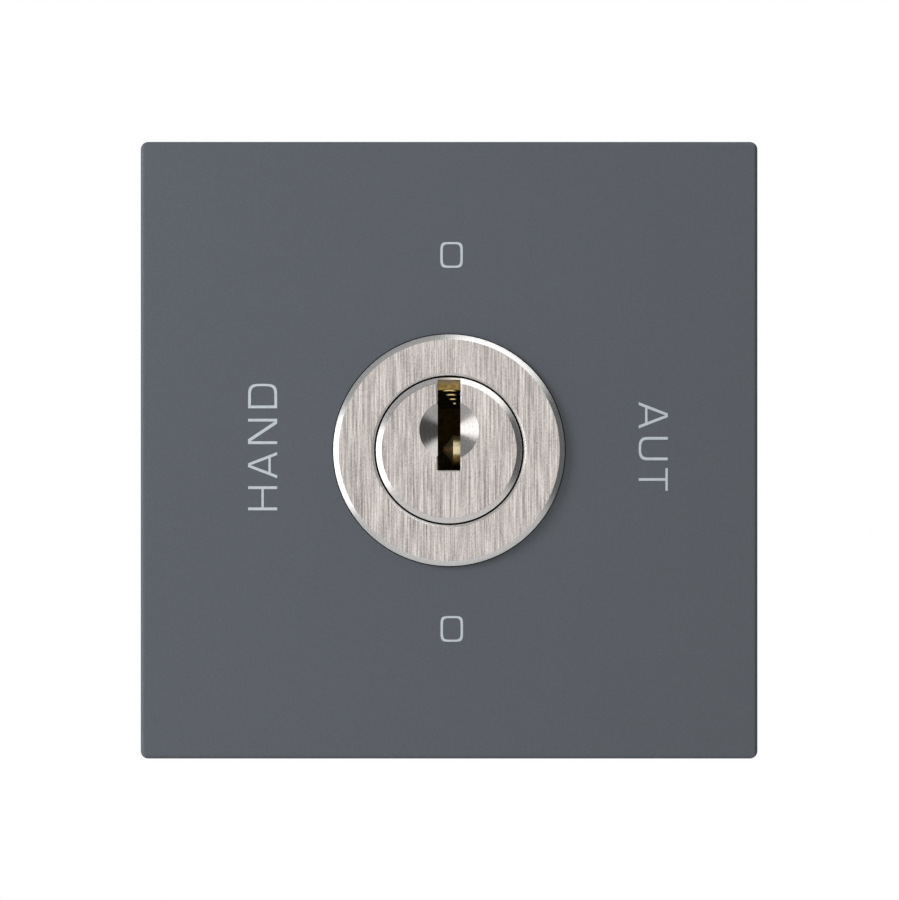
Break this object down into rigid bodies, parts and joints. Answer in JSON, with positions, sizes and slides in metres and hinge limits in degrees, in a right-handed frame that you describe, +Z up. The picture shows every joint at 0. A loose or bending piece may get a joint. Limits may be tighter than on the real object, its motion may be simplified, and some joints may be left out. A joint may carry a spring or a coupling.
{
  "type": "selector key switch",
  "caption": "Flush-mounted selector switch turned by a key: square front plate, round pin-tumbler lock with brushed ring, steel carrier frame and rotary switch block behind.",
  "frame": {"origin": "centre of the four fixing holes, on the carrier frame's back face (the wall plane)", "axes": "+Z up, +X to the right as seen from the front, +Y into the wall; the key slot's mouth faces -Y"},
  "size_m": [0.06, 0.0538, 0.06],
  "materials": {
    "anthracite_plastic": "fine satin grain",
    "mark_print": "printed marks on the front plate, added by the visual model",
    "zinc_sheet": "zinc-plated sheet",
    "spring_bronze": "rolled strip",
    "die_cast_zinc": "cast, dull",
    "screw_steel": "zinc-plated",
    "brushed_nickel": "nickel-plated, straight brushed face",
    "sleeve_steel": "turned",
    "black_steel": "black oxide",
    "pin_brass": "turned",
    "pin_nickel_silver": "turned",
    "spring_steel": "bright wire and strip",
    "ivory_plastic": "moulded",
    "red_plastic": "moulded",
    "silver_contact": "bright",
    "black_plastic": "moulded",
    "contact_copper": "stamped strip",
    "terminal_brass": "milled"
  },
  "bodies": {
    "root": {"front_plate": "anthracite_plastic", "carrier_frame": "zinc_sheet", "plate_clips": "spring_bronze", "lock_holder": "die_cast_zinc", "holder_screws": "screw_steel", "cylinder_housing": "brushed_nickel", "cylinder_sleeve": "sleeve_steel", "cylinder_grub_screw": "black_steel", "switch_cover": "ivory_plastic", "detent_spring_upper": "spring_steel", "detent_spring_lower": "spring_steel", "switch_base": "black_plastic", "common_contact": "contact_copper", "hand_contact": "contact_copper", "aut_contact": "contact_copper", "terminal_common": "terminal_brass", "terminal_hand": "terminal_brass", "terminal_aut": "terminal_brass", "terminal_screws": "screw_steel", "switch_rear_cover": "black_plastic", "switch_screws": "screw_steel", "pin_spring_1": "spring_steel", "pin_spring_2": "spring_steel", "pin_spring_3": "spring_steel", "pin_spring_4": "spring_steel", "pin_spring_5": "spring_steel"},
    "key_core": {"cylinder_plug": "brushed_nickel", "plug_circlip": "black_steel", "plug_driver": "die_cast_zinc", "driver_screws": "screw_steel", "switch_rotor": "red_plastic", "contact_wiper": "silver_contact", "wiper_spring": "spring_steel"},
    "core_pin_1": {"core_pin_1": "pin_brass"},
    "core_pin_2": {"core_pin_2": "pin_brass"},
    "core_pin_3": {"core_pin_3": "pin_brass"},
    "core_pin_4": {"core_pin_4": "pin_brass"},
    "core_pin_5": {"core_pin_5": "pin_brass"},
    "driver_pin_1": {"driver_pin_1": "pin_nickel_silver"},
    "driver_pin_2": {"driver_pin_2": "pin_nickel_silver"},
    "driver_pin_3": {"driver_pin_3": "pin_nickel_silver"},
    "driver_pin_4": {"driver_pin_4": "pin_nickel_silver"},
    "driver_pin_5": {"driver_pin_5": "pin_nickel_silver"}
  },
  "joints": [
    {"name": "key_turn", "type": "hinge", "parent": "root", "child": "key_core", "pos_m": [0, 0, 0], "axis": [0, 1, 0], "continuous": true, "deforming": ["detent_spring_upper", "detent_spring_lower"]},
    {"name": "core_pin_1_slide", "type": "slide", "parent": "key_core", "child": "core_pin_1", "axis": [-1, 0, 0], "range_m": [0, 0.00037]},
    {"name": "core_pin_2_slide", "type": "slide", "parent": "key_core", "child": "core_pin_2", "axis": [-1, 0, 0], "range_m": [0, 0.0008]},
    {"name": "core_pin_3_slide", "type": "slide", "parent": "key_core", "child": "core_pin_3", "axis": [-1, 0, 0], "range_m": [0, 0.0006]},
    {"name": "core_pin_4_slide", "type": "slide", "parent": "key_core", "child": "core_pin_4", "axis": [-1, 0, 0], "range_m": [0, 0.001]},
    {"name": "core_pin_5_slide", "type": "slide", "parent": "key_core", "child": "core_pin_5", "axis": [-1, 0, 0], "range_m": [0, 0.0007]},
    {"name": "driver_pin_1_slide", "type": "slide", "parent": "root", "child": "driver_pin_1", "axis": [1, 0, 0], "range_m": [0, 0.0012], "stiffness_N_per_m": 200, "springref_m": -0.0015, "deforming": ["pin_spring_1"]},
    {"name": "driver_pin_2_slide", "type": "slide", "parent": "root", "child": "driver_pin_2", "axis": [1, 0, 0], "range_m": [0, 0.0012], "stiffness_N_per_m": 200, "springref_m": -0.0015, "deforming": ["pin_spring_2"]},
    {"name": "driver_pin_3_slide", "type": "slide", "parent": "root", "child": "driver_pin_3", "axis": [1, 0, 0], "range_m": [0, 0.0012], "stiffness_N_per_m": 200, "springref_m": -0.0015, "deforming": ["pin_spring_3"]},
    {"name": "driver_pin_4_slide", "type": "slide", "parent": "root", "child": "driver_pin_4", "axis": [1, 0, 0], "range_m": [0, 0.0012], "stiffness_N_per_m": 200, "springref_m": -0.0015, "deforming": ["pin_spring_4"]},
    {"name": "driver_pin_5_slide", "type": "slide", "parent": "root", "child": "driver_pin_5", "axis": [1, 0, 0], "range_m": [0, 0.0012], "stiffness_N_per_m": 200, "springref_m": -0.0015, "deforming": ["pin_spring_5"]}
  ]
}
